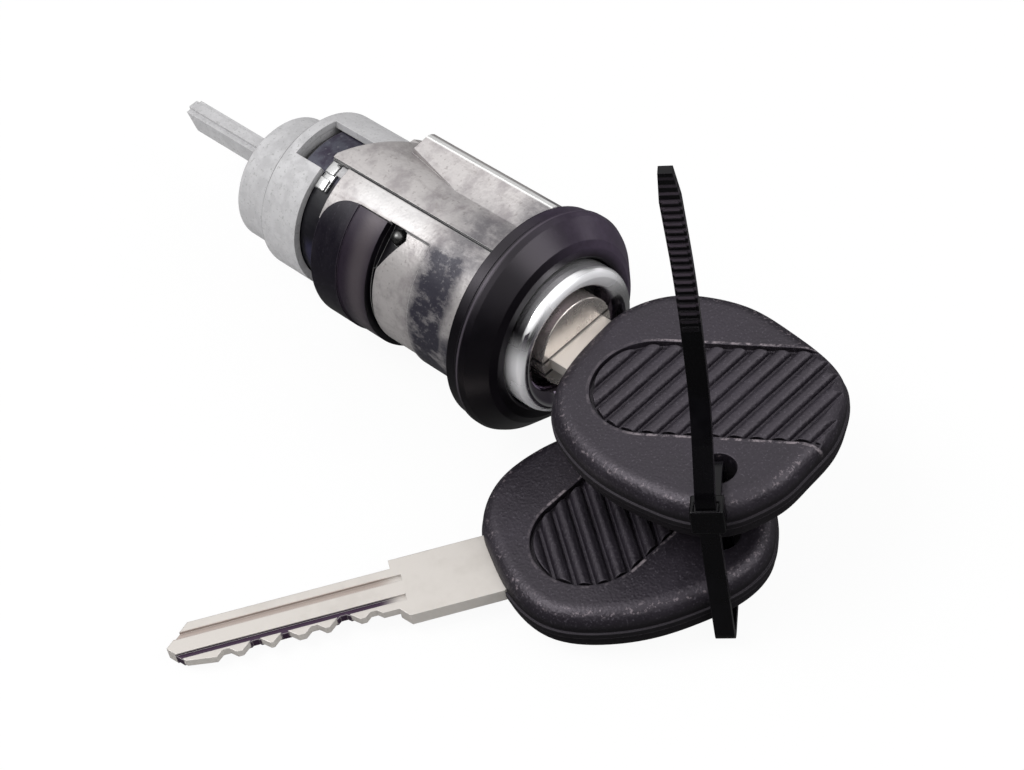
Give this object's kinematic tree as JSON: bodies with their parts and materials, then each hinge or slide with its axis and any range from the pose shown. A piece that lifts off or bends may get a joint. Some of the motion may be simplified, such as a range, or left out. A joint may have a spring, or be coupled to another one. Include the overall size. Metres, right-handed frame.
{
  "type": "ignition lock cylinder with keys",
  "caption": "Key-operated ignition lock cylinder with a cast drive tail, one key inserted and a like key hung from it on a cable tie.",
  "frame": {"origin": "on the lock's axis, in the plane of the black front cap's rear face, which seats on the steering column", "axes": "+Y along the lock's axis toward the drive tail, keys toward -Y; +Z is the face normal of the inserted key; +X to the right seen from the keys"},
  "size_m": [0.0808, 0.1179, 0.0764],
  "materials": {
    "housing_zinc": "worn silver zinc casting",
    "cap_black": "satin black moulding",
    "trim_chrome": "bright plated ring",
    "seal_rubber": "matte",
    "plug_nickel": "warm nickel plating",
    "sleeve_dark": "dark metallic finish",
    "latch_steel": "dark oiled steel",
    "clip_steel": "bright spring steel",
    "washer_steel": "plain",
    "driver_zinc": "pale matte zinc casting",
    "pin_steel": "plain",
    "spring_steel": "plain",
    "wafer_brass": "stamped brass",
    "key_nickel": "nickel plating with fine wear",
    "key_plastic": "grained charcoal moulding",
    "tie_nylon": "glossy black"
  },
  "bodies": {
    "lock_body": {"housing": "housing_zinc", "front_cap": "cap_black", "trim_ring": "trim_chrome", "dust_seal": "seal_rubber", "locking_sleeve": "sleeve_dark", "latch_ring": "latch_steel", "stop_clip": "clip_steel", "thrust_washer": "washer_steel", "catch_spring": "spring_steel"},
    "plug_body": {"plug": "plug_nickel", "wafer_1": "wafer_brass", "wafer_2": "wafer_brass", "wafer_3": "wafer_brass", "wafer_4": "wafer_brass", "wafer_5": "wafer_brass", "wafer_6": "wafer_brass", "wafer_springs": "spring_steel", "driver": "driver_zinc", "drive_pin": "pin_steel"},
    "key_1": {"key_1_blade": "key_nickel", "key_1_head": "key_plastic", "cable_tie": "tie_nylon"},
    "key_2": {"key_2_blade": "key_nickel", "key_2_head": "key_plastic"},
    "catch": {"catch_pin": "pin_steel"}
  },
  "joints": [
    {"name": "plug_turn", "type": "hinge", "parent": "lock_body", "child": "plug_body", "pos_m": [0, 0, 0], "axis": [0, 1, 0], "range_deg": [0, 90]},
    {"name": "key_pull", "type": "slide", "parent": "plug_body", "child": "key_1", "axis": [0, -1, 0], "range_m": [0, 0.043]},
    {"name": "key_2_swing", "type": "hinge", "parent": "key_1", "child": "key_2", "pos_m": [-0.0071, -0.0389, -0.0142], "axis": [0, 0, 1], "range_deg": [-10, 2]},
    {"name": "catch_press", "type": "slide", "parent": "lock_body", "child": "catch", "axis": [0.5446, 0, -0.8387], "range_m": [0, 0.0012], "stiffness_N_per_m": 400, "springref_m": -0.001, "deforming": ["catch_spring"]}
  ]
}
